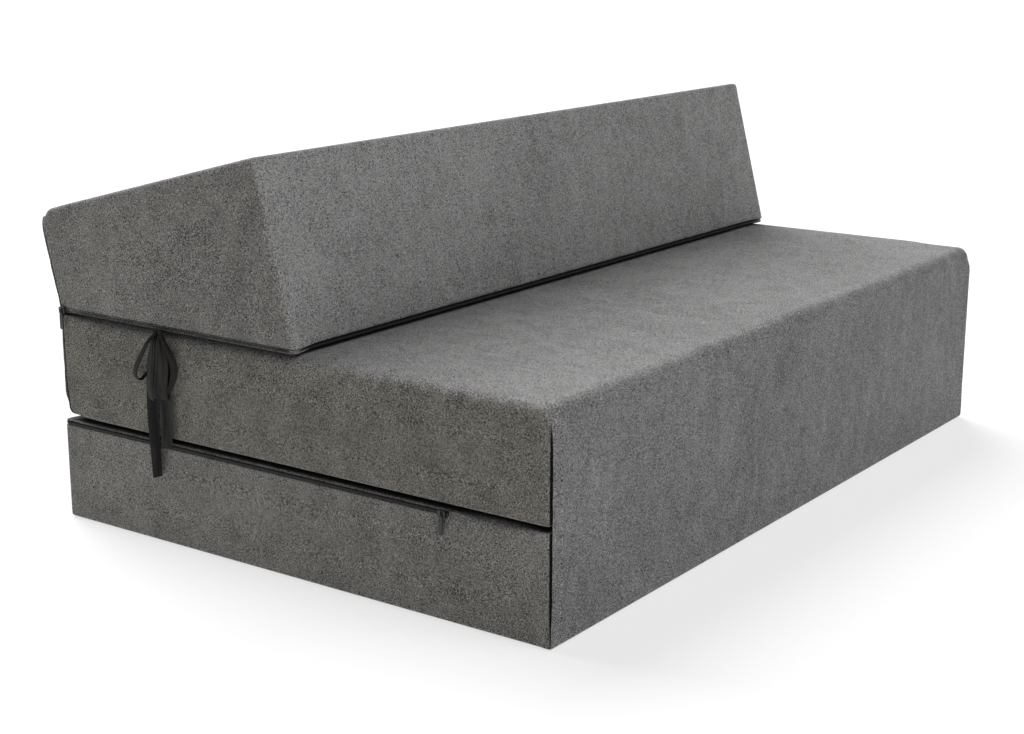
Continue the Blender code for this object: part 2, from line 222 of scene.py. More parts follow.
def velour(name, colour, attribute=None, front=1.0, side=1.0, painted_warmth=0.04, shaded_faces=()):
    """Short brushed pile: fine grain, swept patches, and painted shade that darkens or lights each
    face by the way it faces.

    The listed faces are painted almost black as painted shade, and faces to the sides get a warmer
    colour as painted bounce light.
    """
    look = bpy.context.scene.futon_cloth
    made = Finish(name, sheen_weight=look.sheen, sheen_roughness=0.45)
    made.shader.inputs["Sheen Tint"].default_value = (0.85, 0.87, 0.9, 1.0)
    made.shader.inputs["Specular IOR Level"].default_value = 0.12
    place = made.places(attribute)
    pile = made.grain(place, look.grain_scale, detail=2.0, roughness=0.7)
    fleck = made.grain(place, look.grain_scale * 0.38, detail=1.0, roughness=0.5)
    swept = made.grain(made.stretched(place, (1.3, 0.9, 0.7)), 13.0, 5.0, 0.62, 1.8)
    cloud = made.grain(place, 3.1, detail=2.0, roughness=0.5, distortion=0.6)
    streak = made.grain(made.stretched(place, (1.0, 0.4, 0.3)), 75.0, 2.0, 0.6, 0.5)
    light = 1.0 + (pile - 0.5) * look.grain + (fleck - 0.5) * (look.grain * 0.20)
    light = light + (swept - 0.5) * look.patches
    light = light + (cloud - 0.5) * (look.patches * 0.5) + (streak - 0.5) * (look.patches * 0.5)
    facing = made.node("SeparateXYZ", None, made.node("TexCoord").outputs["Normal"])
    sideways = made.value(facing, 0) ** 2.0
    forward = made.value(facing, 1) ** 2.0
    # Painted shade: faces are made darker or lighter by the way they face, side for faces to the
    # sides and front for faces to the front or rear.
    painted_face_shade = 1.0 + sideways * (side - 1.0) + forward * (front - 1.0)
    # Painted shade: the listed faces, where shade falls between cushions, behind panels and under
    # the wedge, are darkened almost to black.
    for axis, sign, least, most in shaded_faces:
        turned = made.value(facing, axis) * sign
        painted_dark = ((turned - least) * 7.0).clamped() * (1.0 - ((turned - most) * 50.0).clamped())
        painted_face_shade = painted_face_shade * (1.0 - painted_dark * 0.95)
    light = (light * painted_face_shade * 0.5).clamped() * 2.0
    # Painted light: faces to the sides get a warmer colour, standing in for warm bounced light.
    painted_warm_colour = (colour[0] * (1 + painted_warmth * 0.3), colour[1], colour[2] * (1 - painted_warmth))
    base = made.mixed(sideways.clamped(), shade(colour, 1.0), shade(painted_warm_colour, 1.0))
    level = made.node("CombineXYZ", None, light, light, light)
    tinted = made.node("VectorMath", {"operation": "MULTIPLY"}, base, level.outputs[0])
    made.colour(tinted.outputs[0])
    made.roughness((0.86 + (swept - 0.5) * 0.2).clamped())
    made.bump(pile * 0.6 + fleck * 0.6 + swept * 0.5, 0.7, 0.0009)
    return made.material


def tape_cloth(name, colour):
    """Herringbone woven zip tape."""
    made = Finish(name)
    made.shader.inputs["Specular IOR Level"].default_value = 0.15
    place = made.places()
    parts = made.node("SeparateXYZ", None, place)
    along = made.value(parts, 0) + made.value(parts, 1)
    across = made.value(parts, 2)
    ribs = along * 5200.0 + (across * 4200.0).maths("SINE", across * 4200.0) * 1.2
    ribs = ribs.maths("SINE", ribs) * 0.5 + 0.5
    fuzz = made.grain(place, 1400.0)
    share = (ribs * 0.6 + fuzz * 0.4).clamped()
    made.colour(made.mixed(share, shade(colour, 0.55), shade(colour, 1.7)))
    made.roughness((0.7 + fuzz * 0.25).clamped())
    made.bump(ribs, 0.6, 0.0002)
    return made.material


def nylon(name, colour):
    """Zip teeth: moulded nylon, a little glossy on the crests."""
    made = Finish(name)
    made.shader.inputs["Specular IOR Level"].default_value = 0.22
    place = made.places()
    wear = made.grain(place, 260.0, detail=3.0)
    made.colour(made.mixed((wear * 1.6 - 0.3).clamped(), shade(colour, 0.8), shade(colour, 1.35)))
    made.roughness((0.28 + wear * 0.25).clamped())
    made.bump(wear, 0.2, 0.0001)
    return made.material


def lacquer(name, colour):
    """Lacquered die-cast zinc with rubbed edges."""
    made = Finish(name, metallic=0.0, coat_roughness=0.2)
    place = made.places()
    rub = made.grain(place, 420.0, detail=4.0, roughness=0.7)
    worn = ((rub - 0.52) * 5.0).clamped()
    made.colour(made.mixed(worn, shade(colour, 0.9), shade(colour, 1.9)))
    made.feed(made.shader.inputs["Metallic"], (0.15 + worn * 0.4).clamped())
    made.roughness((0.3 + rub * 0.25).clamped())
    made.feed(made.shader.inputs["Coat Weight"], (0.15 - worn * 0.1).clamped())
    made.bump(rub, 0.25, 0.00015)
    return made.material


def satin(name, colour):
    """Satin ribbon: long floats along its length, and a painted sheen: lighter towards the bow's
    front and in stretched patches.
    """
    look = bpy.context.scene.futon_ties
    made = Finish(name, anisotropic=0.4)
    made.shader.inputs["Specular IOR Level"].default_value = look.gloss
    uv = made.node("UVMap", {"uv_map": "weave"}).outputs[0]
    forward = TIE_MIDDLE - made.value(made.node("SeparateXYZ", None, made.places()), 1)
    floats = made.grain(made.stretched(uv, (900.0, 40.0, 1.0)), 1.0, 3.0, 0.6)
    painted_sheen_patches = made.grain(made.stretched(uv, (90.0, 14.0, 1.0)), 1.0, 2.0, 0.5)
    # Painted sheen: the ribbon is lighter towards the bow's front and in stretched noise patches.
    share = forward * 24.0 + (painted_sheen_patches - 0.5) * 2.6 + (floats - 0.5) * 1.4 + 0.10
    made.colour(made.mixed(share.clamped(), shade(colour, 0.6), shade(look.lit, 1.0)))
    made.roughness((0.26 + floats * 0.2).clamped())
    made.bump(floats, 0.35, 0.0002)
    return made.material


# ---------------------------------------------------------------- making meshes


def new_piece(name, bm, material, smooth=True):
    mesh = bpy.data.meshes.new(name)
    bm.to_mesh(mesh)
    bm.free()
    piece = bpy.data.objects.new(name, mesh)
    bpy.context.scene.collection.objects.link(piece)
    mesh.materials.append(material)
    if smooth:
        mesh.shade_smooth()
    return piece


def finished(piece, body, replaced=()):
    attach(piece, body)
    if replaced:
        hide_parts(*replaced)
    return piece


def smoother(piece):
    rounder = piece.modifiers.new("finer", "SUBSURF")
    rounder.levels = rounder.render_levels = 1


def smoothstep(low, high, value):
    t = min(1.0, max(0.0, (value - low) / (high - low)))
    return t * t * (3.0 - 2.0 * t)


def spread(low, high, step, edge, rows):
    """Places for cuts between low and high: close together in the edges, then evenly apart."""
    near = [edge * i / rows for i in range(1, rows + 1)]
    count = max(2, round((high - low - 2 * edge) / step))
    middle = [low + edge + (high - low - 2 * edge) * i / count for i in range(1, count)]
    return [low + d for d in near] + middle + [high - d for d in reversed(near)]


def slice_mesh(bm, places, normal):
    """Cuts the mesh across its whole width at each point, normal to one direction."""
    for place in places:
        bmesh.ops.bisect_plane(
            bm,
            geom=bm.verts[:] + bm.edges[:] + bm.faces[:],
            dist=1e-6,
            plane_co=place,
            plane_no=normal,
        )


class Block:
    """A block of foam: a convex outline in Y and Z, drawn out to both sides."""

    def __init__(self, outline, half, usual, lines=()):
        self.outline = [Vector(p) for p in outline]
        self.half = half
        self.usual = usual
        self.lines = list(lines)
        middle = sum(self.outline, Vector((0, 0))) / len(outline)
        self.sides = []
        for a, b in zip(self.outline, self.outline[1:] + self.outline[:1]):
            along = (b - a).normalized()
            out = Vector((along.y, -along.x))
            if out.dot(a - middle) < 0:
                out = -out
            self.sides.append((a, out))

    def radius(self, place):
        """The rounding at a place: the usual one, or that of a listed edge close to it."""
        found = self.usual
        for a, b, wanted in self.lines:
            along = b - a
            share = min(1.0, max(0.0, (place - a).dot(along) / along.length_squared))
            far = (a + along * share - place).length
            reach = 0.6 * self.usual
            near = 1.0 - smoothstep(reach, 2.2 * self.usual, far)
            found = min(found, self.usual + (wanted - self.usual) * near)
        return found

    def inset(self, depth):
        """The outline's corners after every side has moved in."""
        corners = []
        for i, (a, out) in enumerate(self.sides):
            b, before = self.sides[i - 1]
            first, second = out.dot(a) - depth, before.dot(b) - depth
            det = out.x * before.y - out.y * before.x
            y = (first * before.y - out.y * second) / det
            z = (out.x * second - first * before.x) / det
            corners.append(Vector((y, z)))
        return corners

    def core(self, place, depth):
        """The nearest point to a place in the block after its sides moved in by depth."""
        limit = self.half - depth
        x = min(limit, max(-limit, place.x))
        flat = Vector((place.y, place.z))
        if all(out.dot(flat - a) <= -depth + 1e-7 for a, out in self.sides):
            return Vector((x, flat.x, flat.y))
        corners = self.inset(depth)
        best = None
        for a, b in zip(corners, corners[1:] + corners[:1]):
            along = b - a
            share = min(1.0, max(0.0, (flat - a).dot(along) / along.length_squared))
            point = a + along * share
            if best is None or (point - flat).length < (best - flat).length:
                best = point
        return Vector((x, best.x, best.y))

    def rounded(self, place):
        """Where a point on the sharp block goes when its edges are rounded, and the way out."""
        depth = self.radius(place)
        core = self.core(place, depth)
        out = (place - core).normalized()
        return core + out * depth, out

    def depths(self, place):
        """How far a place is inside each side of the outline."""
        flat = Vector((place.y, place.z))
        return [out.dot(a - flat) for a, out in self.sides]

    def solid(self, step, edge, rows, cuts=()):
        """A bmesh of the sharp block, cut into cells that are smaller near its edges."""
        bm = bmesh.new()
        bmesh.ops.create_cube(bm, size=2.0)
        for vert in bm.verts:
            index = (0 if vert.co.y > 0 else 3) if vert.co.z < 0 else (1 if vert.co.y > 0 else 2)
            corner = self.outline[index]
            vert.co = (self.half * (1 if vert.co.x > 0 else -1), corner.x, corner.y)
        wide = spread(-self.half, self.half, step, edge, rows)
        slice_mesh(bm, [(x, 0, 0) for x in wide], (1, 0, 0))
        for a, out in self.sides:
            normal = Vector((0, out.x, out.y))
            start = Vector((0, a.x, a.y))
            slice_mesh(bm, [start - normal * edge * i / rows for i in range(1, rows + 1)], normal)
        for a, out in self.sides[:2]:
            normal = Vector((0, out.x, out.y))
            deep = max((a - p).dot(out) for p in self.outline) - 2 * edge
            count = max(1, round(deep / step))
            start = Vector((0, a.x, a.y)) - normal * edge
            slice_mesh(bm, [start - normal * deep * i / count for i in range(1, count)], normal)
        for place, normal in cuts:
            slice_mesh(bm, [place], normal)
        return bm


def puff(piece, free, cap):
    """Blows the cover up between its held edges with the cloth solver, and limits its movement."""
    scene = bpy.context.scene
    held = piece.vertex_groups.new(name="held")
    held.add([v.index for v in piece.data.vertices if not free(v.co)], 1.0, "REPLACE")
    rest = np.array([v.co for v in piece.data.vertices])
    cloth = piece.modifiers.new("cloth", "CLOTH")
    settings = cloth.settings
    settings.quality = 4
    settings.mass = 0.25
    settings.tension_stiffness = 25.0
    settings.compression_stiffness = 25.0
    settings.shear_stiffness = 10.0
    settings.bending_stiffness = 2.0
    settings.use_pressure = True
    settings.uniform_pressure_force = 4.0
    settings.effector_weights.gravity = 0.0
    settings.vertex_group_mass = held.name
    cloth.point_cache.frame_start = 1
    cloth.point_cache.frame_end = SWELL_FRAMES
    for number in range(1, SWELL_FRAMES + 1):
        scene.frame_set(number)
    evaluated = piece.evaluated_get(bpy.context.evaluated_depsgraph_get())
    moved = np.array([v.co for v in evaluated.data.vertices])
    piece.modifiers.remove(cloth)
    piece.vertex_groups.remove(held)
    scene.frame_set(1)
    step = moved - rest
    far = np.linalg.norm(step, axis=1, keepdims=True)
    kept = cap * (1.0 - np.exp(-far / cap)) / np.maximum(far, 1e-9)
    piece.data.vertices.foreach_set("co", (rest + step * kept).astype(np.float32).ravel())
    piece.data.update()


# ---------------------------------------------------------------- cushions


def zip_height(name):
    return centre_of(f"{name}_zip_coil").z


def zip_cuts(name):
    """Cuts that give a zip's groove its two lips."""
    tall = bpy.context.scene.futon_zips.tall
    lips = (-tall / 2 - 0.0009, -tall / 2, tall / 2, tall / 2 + 0.0009)
    return [((0, 0, zip_height(name) + lip), (0, 0, 1)) for lip in lips]


def box_lines(x, y_front, y_rear, z, radius, sides):
    """Edges at one height round a block, each with its rounding."""
    corners = {
        "left": ((-x, y_front), (-x, y_rear)),
        "right": ((x, y_front), (x, y_rear)),
        "front": ((-x, y_front), (x, y_front)),
        "rear": ((-x, y_rear), (x, y_rear)),
    }
    return [(Vector((*a, z)), Vector((*b, z)), radius) for a, b in (corners[s] for s in sides)]


def hollow(place, x, y_face, low, high):
    """How much of the hollow behind a panel's side edge a place has, from 0 to 1."""
    side = smoothstep(x - 0.024, x - 0.006, abs(place.x))
    deep = 1.0 - smoothstep(0.002, 0.030, abs(place.y - y_face))
    tall = smoothstep(low, low + 0.03, place.z) * (1.0 - smoothstep(high - 0.03, high, place.z))
    return side * deep * tall


def cushion(name, body, block, zip_name, groove, shape, free, replaced, material):
    """One cushion: rounded, grooved for its zip, hollowed behind its panels and blown up."""
    look = bpy.context.scene.futon_cushions
    tall = bpy.context.scene.futon_zips.tall
    height = zip_height(zip_name)
    bm = block.solid(look.cell, look.edge, look.edge_rows, zip_cuts(zip_name))
    for vert in bm.verts:
        sharp = vert.co.copy()
        place, out = block.rounded(sharp)
        level = Vector((out.x, out.y, 0))
        inside = groove(sharp)
        if inside > 0 and abs(sharp.z - height) < tall / 2 + 1e-5 and level.length > 0.2:
            place -= level.normalized() * look.groove * inside
        vert.co = shape(sharp, place)
    bmesh.ops.recalc_face_normals(bm, faces=bm.faces)
    piece = new_piece(name, bm, material)
    puff(piece, free, look.swell)
    smoother(piece)
    finished(piece, body, replaced)
    return piece


def slab_block(low, high, lines, swell=0.0):
    look = bpy.context.scene.futon_cushions
    ease = look.ease
    rear, front = high.y - ease + swell, low.y + ease
    outline = [(rear, low.z), (rear, high.z - ease), (front, high.z - ease), (front, low.z)]
    return Block(outline, HALF - look.end_ease, look.edge, lines)


def base_block():
    look = bpy.context.scene.futon_cushions
    low, high = BASE_LOW, BASE_HIGH
    x, front, top = HALF - look.end_ease, low.y, high.z - look.ease
    rear = high.y + look.rear_swell
    lines = box_lines(x, front, rear, low.z, look.foot_edge, ("left", "right", "front", "rear"))
    zip_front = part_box("base_zip_slider")[0].y
    lines += box_lines(x, zip_front, rear, top, look.zip_edge, ("left", "right", "rear"))
    lines += box_lines(x, front, zip_front, top, look.open_edge, ("left", "right", "front"))
    for side in (-x, x):
        lines.append((Vector((side, front, 0.030)), Vector((side, front, top)), look.tight_edge))
        lines.append((Vector((side, rear, low.z)), Vector((side, rear, top)), look.rear_edge))
    return slab_block(low, high, lines, look.rear_swell)


def seat_block():
    look = bpy.context.scene.futon_cushions
    low, high = SEAT_LOW, SEAT_HIGH
    x, front, rear = HALF - look.end_ease, low.y, high.y
    top = high.z - look.ease
    lines = box_lines(x, front, rear - 0.045, low.z, look.tight_edge, ("left", "right", "front"))
    turn = top - 0.052
    for side in (-x, x):
        lines.append((Vector((side, front, low.z)), Vector((side, front, turn)), look.tight_edge))
        foot = Vector((side, rear, low.z + 0.045))
        lines.append((foot, Vector((side, rear, top)), look.tight_edge))
    lines.append((Vector((-x, rear, low.z)), Vector((x, rear, low.z)), look.rear_foot))
    lines.append((Vector((x, front + 0.1, top)), Vector((x, rear, top)), look.far_edge))
    return slab_block(low, high, lines)


def wedge_block():
    """The wedge as it stands: its hinge corner, up the rear, over the top and down the front."""
    look = bpy.context.scene.futon_cushions
    ease = look.ease
    rear = Vector((SEAT_HIGH.y, WEDGE_LOW.z))
    toe = Vector((WEDGE_LOW.y, WEDGE_LOW.z))
    base = rear.x - toe.x
    lean = math.acos(look.wedge_deep / base)
    up = Vector((math.sin(lean), math.cos(lean)))
    rear_top = rear + up * look.wedge_rear
    front_top = toe + up * (look.wedge_rear + base * math.sin(lean))
    back = (rear_top - front_top).normalized()
    outline = [
        rear - back * ease * 2 + Vector((0, ease)),
        rear_top - back * ease * 2 - up * ease,
        front_top + back * ease - up * ease,
        toe + back * ease + Vector((0, ease)),
    ]
    x = HALF - look.end_ease
    corners = [Vector((0, p.x, p.y)) for p in outline]
    lines = []
    for side in (-x, x):
        shift = Vector((side, 0, 0))
        lines.append((corners[3] + shift, corners[0] + shift, look.zip_edge))
        high = corners[0].lerp(corners[1], 0.72)
        lines.append((corners[0] + shift, high + shift, look.tight_edge))
    shift = Vector((x, 0, 0))
    lines.append((corners[3] - shift, corners[3] + shift, look.toe_edge))
    lines.append((corners[2] - shift, corners[2] + shift, look.ridge))
    lines.append((corners[1].lerp(corners[2], 0.1) - shift, corners[2] - shift, look.ridge))
    for end in (-shift, shift):
        lines.append((corners[3] + end, corners[2] + end, look.far_edge))
    return Block(outline, x, look.edge, lines)


def make_base(material):
    look = bpy.context.scene.futon_cushions
    block = base_block()
    height = zip_height("base")
    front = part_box("base_zip_tape")[0].y

    def groove(place):
        return smoothstep(front - 0.002, front + 0.004, place.y)

    def shape(sharp, place):
        deep = look.hollow * hollow(sharp, block.half, block.outline[2].x, 0.004, 0.2)
        return place + Vector((0, deep, 0))

    def free(place):
        inner = look.edge * 0.8
        return (
            abs(place.x) > block.half - ON_FACE
            and BASE_LOW.z + inner < place.z < height - 0.006
            and FRONT + 2 * inner < place.y < BASE_HIGH.y - inner
        )

    replaced = ("base_cover", "base_foam")
    return cushion("base_cushion", "base", block, "base", groove, shape, free, replaced, material)


def make_seat(material):
    look = bpy.context.scene.futon_cushions
    block = seat_block()
    height = zip_height("seat")
    tape_low, tape_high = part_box("seat_zip_tape")
    top = block.outline[1].y

    def groove(place):
        if place.x < 0:
            return 0.0
        ends = smoothstep(tape_low.y - 0.002, tape_low.y + 0.004, place.y)
        return ends * (1.0 - smoothstep(tape_high.y - 0.004, tape_high.y + 0.002, place.y))

    def shape(sharp, place):
        front = hollow(sharp, block.half, block.outline[2].x, 0.0, top - 0.012)
        rear = hollow(sharp, block.half, block.outline[0].x, SEAT_LOW.z + 0.004, top + 0.1)
        return place + Vector((0, look.hollow * front - look.rear_hollow * rear, 0))

    def free(place):
        inner = look.edge * 0.8
        at_side = (
            abs(place.x) > block.half - ON_FACE
            and height + 0.006 < place.z < SEAT_HIGH.z - inner
            and FRONT + 2 * inner < place.y < SEAT_HIGH.y - 2 * inner
        )
        on_top = (
            place.z > top - 0.0005
            and abs(place.x) < block.half - inner
            and FRONT + 0.07 < place.y < WEDGE_LOW.y - 0.01
        )
        return at_side or on_top

    replaced = ("seat_cover", "seat_foam")
    return cushion("seat_cushion", "seat", block, "seat", groove, shape, free, replaced, material)


def make_backrest(material):
    look = bpy.context.scene.futon_cushions
    block = wedge_block()
    height = zip_height("backrest")
    end = centre_of("backrest_zip_slider").y + 0.004

    def groove(place):
        return 1.0 - smoothstep(end - 0.004, end + 0.002, place.y)

    def shape(sharp, place):
        depths = block.depths(sharp)
        side = smoothstep(block.half - 0.024, block.half - 0.006, abs(sharp.x))
        deep = side * (1.0 - smoothstep(0.002, 0.030, depths[0]))
        deep *= smoothstep(0.008, 0.05, depths[1])
        out = block.sides[0][1]
        return place - Vector((0, out.x, out.y)) * look.rear_hollow * deep

    def free(place):
        inner = look.edge * 0.8
        if place.z < height + 0.006:
            return False
        depths = block.depths(place)
        if depths[0] < 2 * inner:
            return False
        if abs(place.x) > block.half - ON_FACE:
            return min(depths) > inner
        return abs(place.x) < block.half - inner and sorted(depths)[1] > inner

    replaced = ("backrest_cover", "backrest_foam")
    return cushion(
        "backrest_cushion", "backrest", block, "backrest", groove, shape, free, replaced, material
    )


# ---------------------------------------------------------------- cloth sheets


def cloth_grid(columns, rows, place):
    """A sheet with a UV map from 0 to 1, each point put where place(across, along) says."""
    bm = bmesh.new()
    bmesh.ops.create_grid(bm, x_segments=columns, y_segments=rows, size=0.5)
    layer = bm.loops.layers.uv.new("weave")
    for face in bm.faces:
        for loop in face.loops:
            loop[layer].uv = (loop.vert.co.x + 0.5, loop.vert.co.y + 0.5)
    for vert in bm.verts:
        vert.co = place(vert.co.x + 0.5, vert.co.y + 0.5)
    return bm


def thickened(bm, thick, outward=None):
    """Gives a sheet its thickness, on the side away from outward."""
    bm.normal_update()
    if outward is not None:
        if sum(face.normal.dot(outward) * face.calc_area() for face in bm.faces) < 0:
            bmesh.ops.reverse_faces(bm, faces=bm.faces)
            bm.normal_update()
    bmesh.ops.solidify(bm, geom=bm.faces[:], thickness=thick)
    bmesh.ops.recalc_face_normals(bm, faces=bm.faces)


def keep_places(piece):
    """Stores where each point lies now, so that the pattern stays on the cloth when it bends."""
    stored = piece.data.attributes.new("rest_place", "FLOAT_VECTOR", "POINT")
    flat = np.zeros(len(piece.data.vertices) * 3, np.float32)
    piece.data.vertices.foreach_get("co", flat)
    stored.data.foreach_set("vector", flat)


def route_point(route, far):
    """The point at a distance along a route."""
    for a, b in zip(route, route[1:]):
        run = (b - a).length
        if far <= run or b is route[-1]:
            return a + (b - a) * min(1.0, far / run)
        far -= run


def panel(name, parts, adjust, outward, replaced, material):
    """Cloth over one or two blocks, along a route with a tuck at each end."""
    look = bpy.context.scene.futon_panels
    runs = [sum((b - a).length for a, b in zip(route, route[1:])) for _, route in parts]
    length = sum(runs)
    xs = [-HALF] + spread(-HALF, HALF, 0.024, 0.018, 6) + [HALF]
    rows = round(length / look.row)

    def place(across, along):
        far = along * length
        index = 0 if far <= runs[0] else 1
        block, route = parts[index]
        flat = route_point(route, far - index * runs[0])
        sharp = Vector((xs[round(across * (len(xs) - 1))], flat.x, flat.y))
        shape, out = block.rounded(sharp)
        return adjust(sharp, shape, out)

    bm = cloth_grid(len(xs) - 1, rows, place)
    thickened(bm, look.thick, outward)
    piece = new_piece(name, bm, material)
    smoother(piece)
    keep_places(piece)
    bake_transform(piece)
    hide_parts(*replaced)
    return piece


def side_gap(sharp, tall):
    """How far a panel's side edge draws in: it waves a little, and closes at its ends."""
    wave = math.sin(sharp.z * 190.0 + sharp.x) * math.sin(sharp.z * 67.0)
    rim = smoothstep(HALF - 0.010, HALF, abs(sharp.x))
    return rim * tall * (bpy.context.scene.futon_panels.side_gap + 0.0004 * (1 + wave))


def make_front_panel(material):
    look = bpy.context.scene.futon_panels
    cushions = bpy.context.scene.futon_cushions
    top, foot, behind = SEAT_HIGH.z - 0.0002, 0.0006, FRONT + 0.3
    lines = [
        (Vector((-HALF, FRONT, foot)), Vector((HALF, FRONT, foot)), cushions.foot_edge),
        (Vector((-HALF, behind, foot)), Vector((-HALF, behind, top)), 0.002),
    ]
    for side in (-HALF, HALF):
        low, high = Vector((side, FRONT, 0.030)), Vector((side, FRONT, top - 0.052))
        lines.append((low, high, SLEEK))
    outline = [(behind, foot), (behind, top), (FRONT, top), (FRONT, foot)]
    block = Block(outline, HALF, cushions.edge, lines)
    route = [
        Vector((FRONT + look.tuck, top)),
        Vector((FRONT, top)),
        Vector((FRONT, foot)),
        Vector((FRONT + 0.02, foot)),
    ]

    def adjust(sharp, shape, out):
        side = 1 if sharp.x > 0 else -1
        tall = smoothstep(0.004, 0.06, sharp.z)
        tall *= 1.0 - smoothstep(top - 0.055, top - 0.016, sharp.z)
        tuck = smoothstep(FRONT + 0.016, FRONT + look.tuck, sharp.y) * 0.0030
        corner = smoothstep(HALF - 0.022, HALF - 0.002, abs(sharp.x))
        corner *= smoothstep(top - 0.030, top - 0.012, sharp.z)
        moved = shape - out * (tuck + corner * 0.0022)
        moved.x -= side * side_gap(sharp, tall)
        return moved

    replaced = ("front_panel_lower", "front_panel_upper")
    way = Vector((0, -1, 0))
    panel("front_panel", [(block, route)], adjust, way, replaced, material)


def make_rear_panel(material):
    """Cloth up the seat's rear and the wedge's, tucked over the wedge's top."""
    look = bpy.context.scene.futon_panels
    cushions = bpy.context.scene.futon_cushions
    wedge = wedge_block()
    out = wedge.sides[0][1]
    up = Vector((-out.y, out.x))
    outer = REAR
    away = 0.1
    skin = out * (look.thick + 0.0004)
    rear = wedge.outline[0] + skin
    hinge = rear - up * ((rear.x - outer) / up.x)
    high = wedge.outline[1] + skin + wedge.sides[1][1] * 0.0002
    ridge = wedge.outline[2] + wedge.sides[1][1] * 0.0002
    back = (ridge - high).normalized()
    foot = SEAT_LOW.z - 0.0008
    top, inner = hinge.y + away, outer - 0.3
    outline = [(outer, foot), (outer, top), (inner, top), (inner, foot)]
    low_block = Block(outline, HALF, cushions.edge)
    high_block = Block([hinge - up * away, high, ridge, ridge - up * 0.3], HALF, cushions.rear_top)
    low_block.lines.append(
        (Vector((-HALF, outer, foot)), Vector((HALF, outer, foot)), cushions.rear_foot)
    )
    for side in (-HALF, HALF):
        low_block.lines.append(
            (Vector((side, outer, foot + 0.045)), Vector((side, outer, top)), SLEEK)
        )
        start, end = hinge - up * away, hinge.lerp(high, 0.72)
        high_block.lines.append(
            (Vector((side, start.x, start.y)), Vector((side, end.x, end.y)), SLEEK)
        )
    low_route = [Vector((outer - 0.030, foot)), Vector((outer, foot)), hinge]
    high_route = [hinge, high, high + back * look.tuck]

    def adjust(sharp, shape, out):
        side = 1 if sharp.x > 0 else -1
        flat = Vector((sharp.y, sharp.z))
        along = (high - flat).length
        near_top = 1.0 - smoothstep(0.010, 0.045, along)
        behind = max(0.0, (flat - high).dot(back))
        tuck = smoothstep(0.010, look.tuck, behind) * 0.0034
        corner = smoothstep(HALF - 0.022, HALF - 0.004, abs(sharp.x)) * near_top
        moved = shape - out * (tuck + corner * 0.0030)
        tall = smoothstep(foot + 0.002, foot + 0.03, sharp.z) * (1.0 - near_top)
        moved.x -= side * side_gap(sharp, tall)
        return moved

    panel(
        "rear_panel",
        [(low_block, low_route), (high_block, high_route)],
        adjust,
        Vector((0, 1, 0)),
        ("rear_panel_lower", "rear_panel_upper"),
        material,
    )


# ---------------------------------------------------------------- zips


def zip_places(name, out, step):
    """Even places along a zip, just outside the cushion, each with its direction and way out."""
    block = {"base": base_block, "seat": seat_block, "backrest": wedge_block}[name]()
    block.lines = [line for line in block.lines if line[0].z == line[1].z]
    low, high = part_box(f"{name}_zip_coil")
    z = zip_height(name)
    x, rear = block.half, block.outline[0].x
    a, side = block.sides[2]
    front = a.x - (z - a.y) * side.y / side.x
    far = max(high.y, centre_of(f"{name}_zip_slider").y)
    corners = {
        "base": [(-x, low.y), (-x, rear), (x, rear), (x, low.y)],
        "seat": [(x, high.y), (x, low.y)],
        "backrest": [(x, high.y), (x, front), (-x, front), (-x, far)],
    }[name]
    points = []
    for a, b in zip(corners, corners[1:]):
        a, b = Vector(a), Vector(b)
        count = round((b - a).length / 0.001)
        for i in range(count + 1):
            flat = a.lerp(b, i / count)
            place, way = block.rounded(Vector((flat.x, flat.y, z)))
            way = Vector((way.x, way.y)).normalized()
            spot = Vector((place.x, place.y)) + way * out
            if not points or (points[-1][0] - spot).length > 1e-5:
                points.append((spot, way))
    places = []
    rest = 0.0
    for (a, first), (b, second) in zip(points, points[1:]):
        run = (b - a).length
        while rest < run:
            t = rest / run
            way = first.lerp(second, t).normalized()
            places.append((a.lerp(b, t), (b - a) / run, way))
            rest += step
        rest -= run
    last, way = points[-1]
    places.append((last, places[-1][1], way))
    return places, z


def make_teeth(name, material):
    """Two rows of coil teeth that meet in the middle, one turn of the coil for every pitch."""
    look = bpy.context.scene.futon_zips
    places, z = zip_places(name, look.teeth_out, look.pitch / 2)
    tooth = bmesh.new()
    bmesh.ops.create_cube(tooth, size=1.0)
    size = (look.pitch * TOOTH_WIDE, TOOTH_DEEP, TOOTH_TALL)
    bmesh.ops.scale(tooth, vec=size, verts=tooth.verts)
    bevel = {"affect": "EDGES", "profile": 0.5, "material": -1, "segments": 1}
    bmesh.ops.bevel(tooth, geom=tooth.edges[:], offset=0.0004, **bevel)
    shape = bpy.data.meshes.new("tooth")
    tooth.to_mesh(shape)
    tooth.free()
    bm = bmesh.new()
    for i, (spot, along, way) in enumerate(places):
        before = len(bm.verts)
        bm.from_mesh(shape)
        bm.verts.ensure_lookup_table()
        side = 1 if i % 2 else -1
        turn = Matrix(
            (
                (along.x, way.x, 0, spot.x),
                (along.y, way.y, 0, spot.y),
                (0, 0, 1, z + side * TOOTH_APART),
                (0, 0, 0, 1),
            )
        )
        tilt = Matrix.Rotation(side * TOOTH_TILT, 4, "Y")
        bmesh.ops.transform(bm, matrix=turn @ tilt, verts=bm.verts[before:])
    bmesh.ops.recalc_face_normals(bm, faces=bm.faces)
    bpy.data.meshes.remove(shape)
    piece = new_piece(f"{name}_zip_teeth", bm, material)
    piece.data.set_sharp_from_angle(angle=math.radians(40))
    return finished(piece, name, (f"{name}_zip_coil",))


